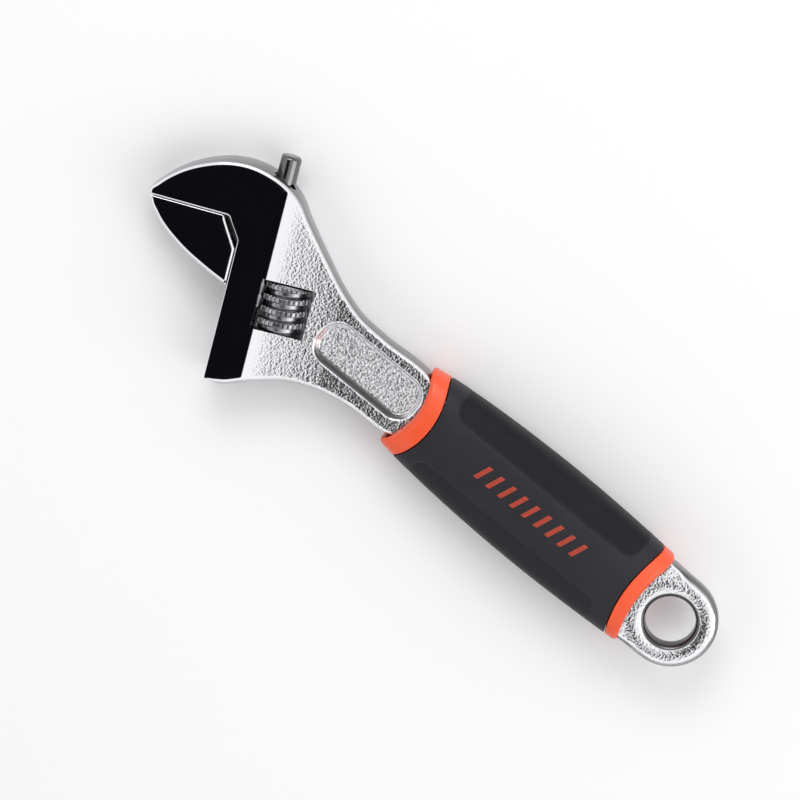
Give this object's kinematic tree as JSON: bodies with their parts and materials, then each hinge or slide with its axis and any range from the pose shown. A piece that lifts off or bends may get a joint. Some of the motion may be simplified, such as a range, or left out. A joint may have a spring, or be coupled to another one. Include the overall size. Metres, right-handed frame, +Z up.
{
  "type": "adjustable wrench",
  "caption": "Forged adjustable wrench: fixed jaw and head on an I-beam neck, a sliding jaw on a round toothed rail driven by a thumb wheel, a two-part grip and a hanging ring.",
  "frame": {"origin": "bottom centre of the whole wrench's box, with the wrench lying flat and its jaws closed", "axes": "+X along the handle towards the hanging ring, +Y towards the fixed jaw's crown, +Z up out of the flat side"},
  "size_m": [0.204, 0.065, 0.0212],
  "materials": {
    "body_chrome": "bright plated forging, polished cheek, rough neck",
    "jaw_chrome": "polished plate",
    "worm_steel": "turned and cross-cut steel",
    "pin_steel": "turned steel",
    "grip_orange": "satin moulded plastic",
    "grip_black": "soft-touch over-mould with a fine grain"
  },
  "bodies": {
    "frame": {"wrench_body": "body_chrome", "worm_pin": "pin_steel", "worm_spring": "pin_steel", "grip_core": "grip_orange", "grip_cover": "grip_black"},
    "worm": {"worm_knurl": "worm_steel"},
    "jaw": {"movable_jaw": "jaw_chrome"}
  },
  "joints": [
    {"name": "worm_turn", "type": "hinge", "parent": "frame", "child": "worm", "pos_m": [-0.05208, -0.00304, 0.0106], "axis": [-0.4147, 0.91, 0], "range_deg": [0, 2880]},
    {"name": "jaw_slide", "type": "slide", "parent": "frame", "child": "jaw", "axis": [0.4147, -0.91, 0], "range_m": [0, 0.028]}
  ],
  "couplings": [
    {"joint": "jaw_slide", "follows": "worm_turn", "m_per_rad": 0.00055704}
  ]
}
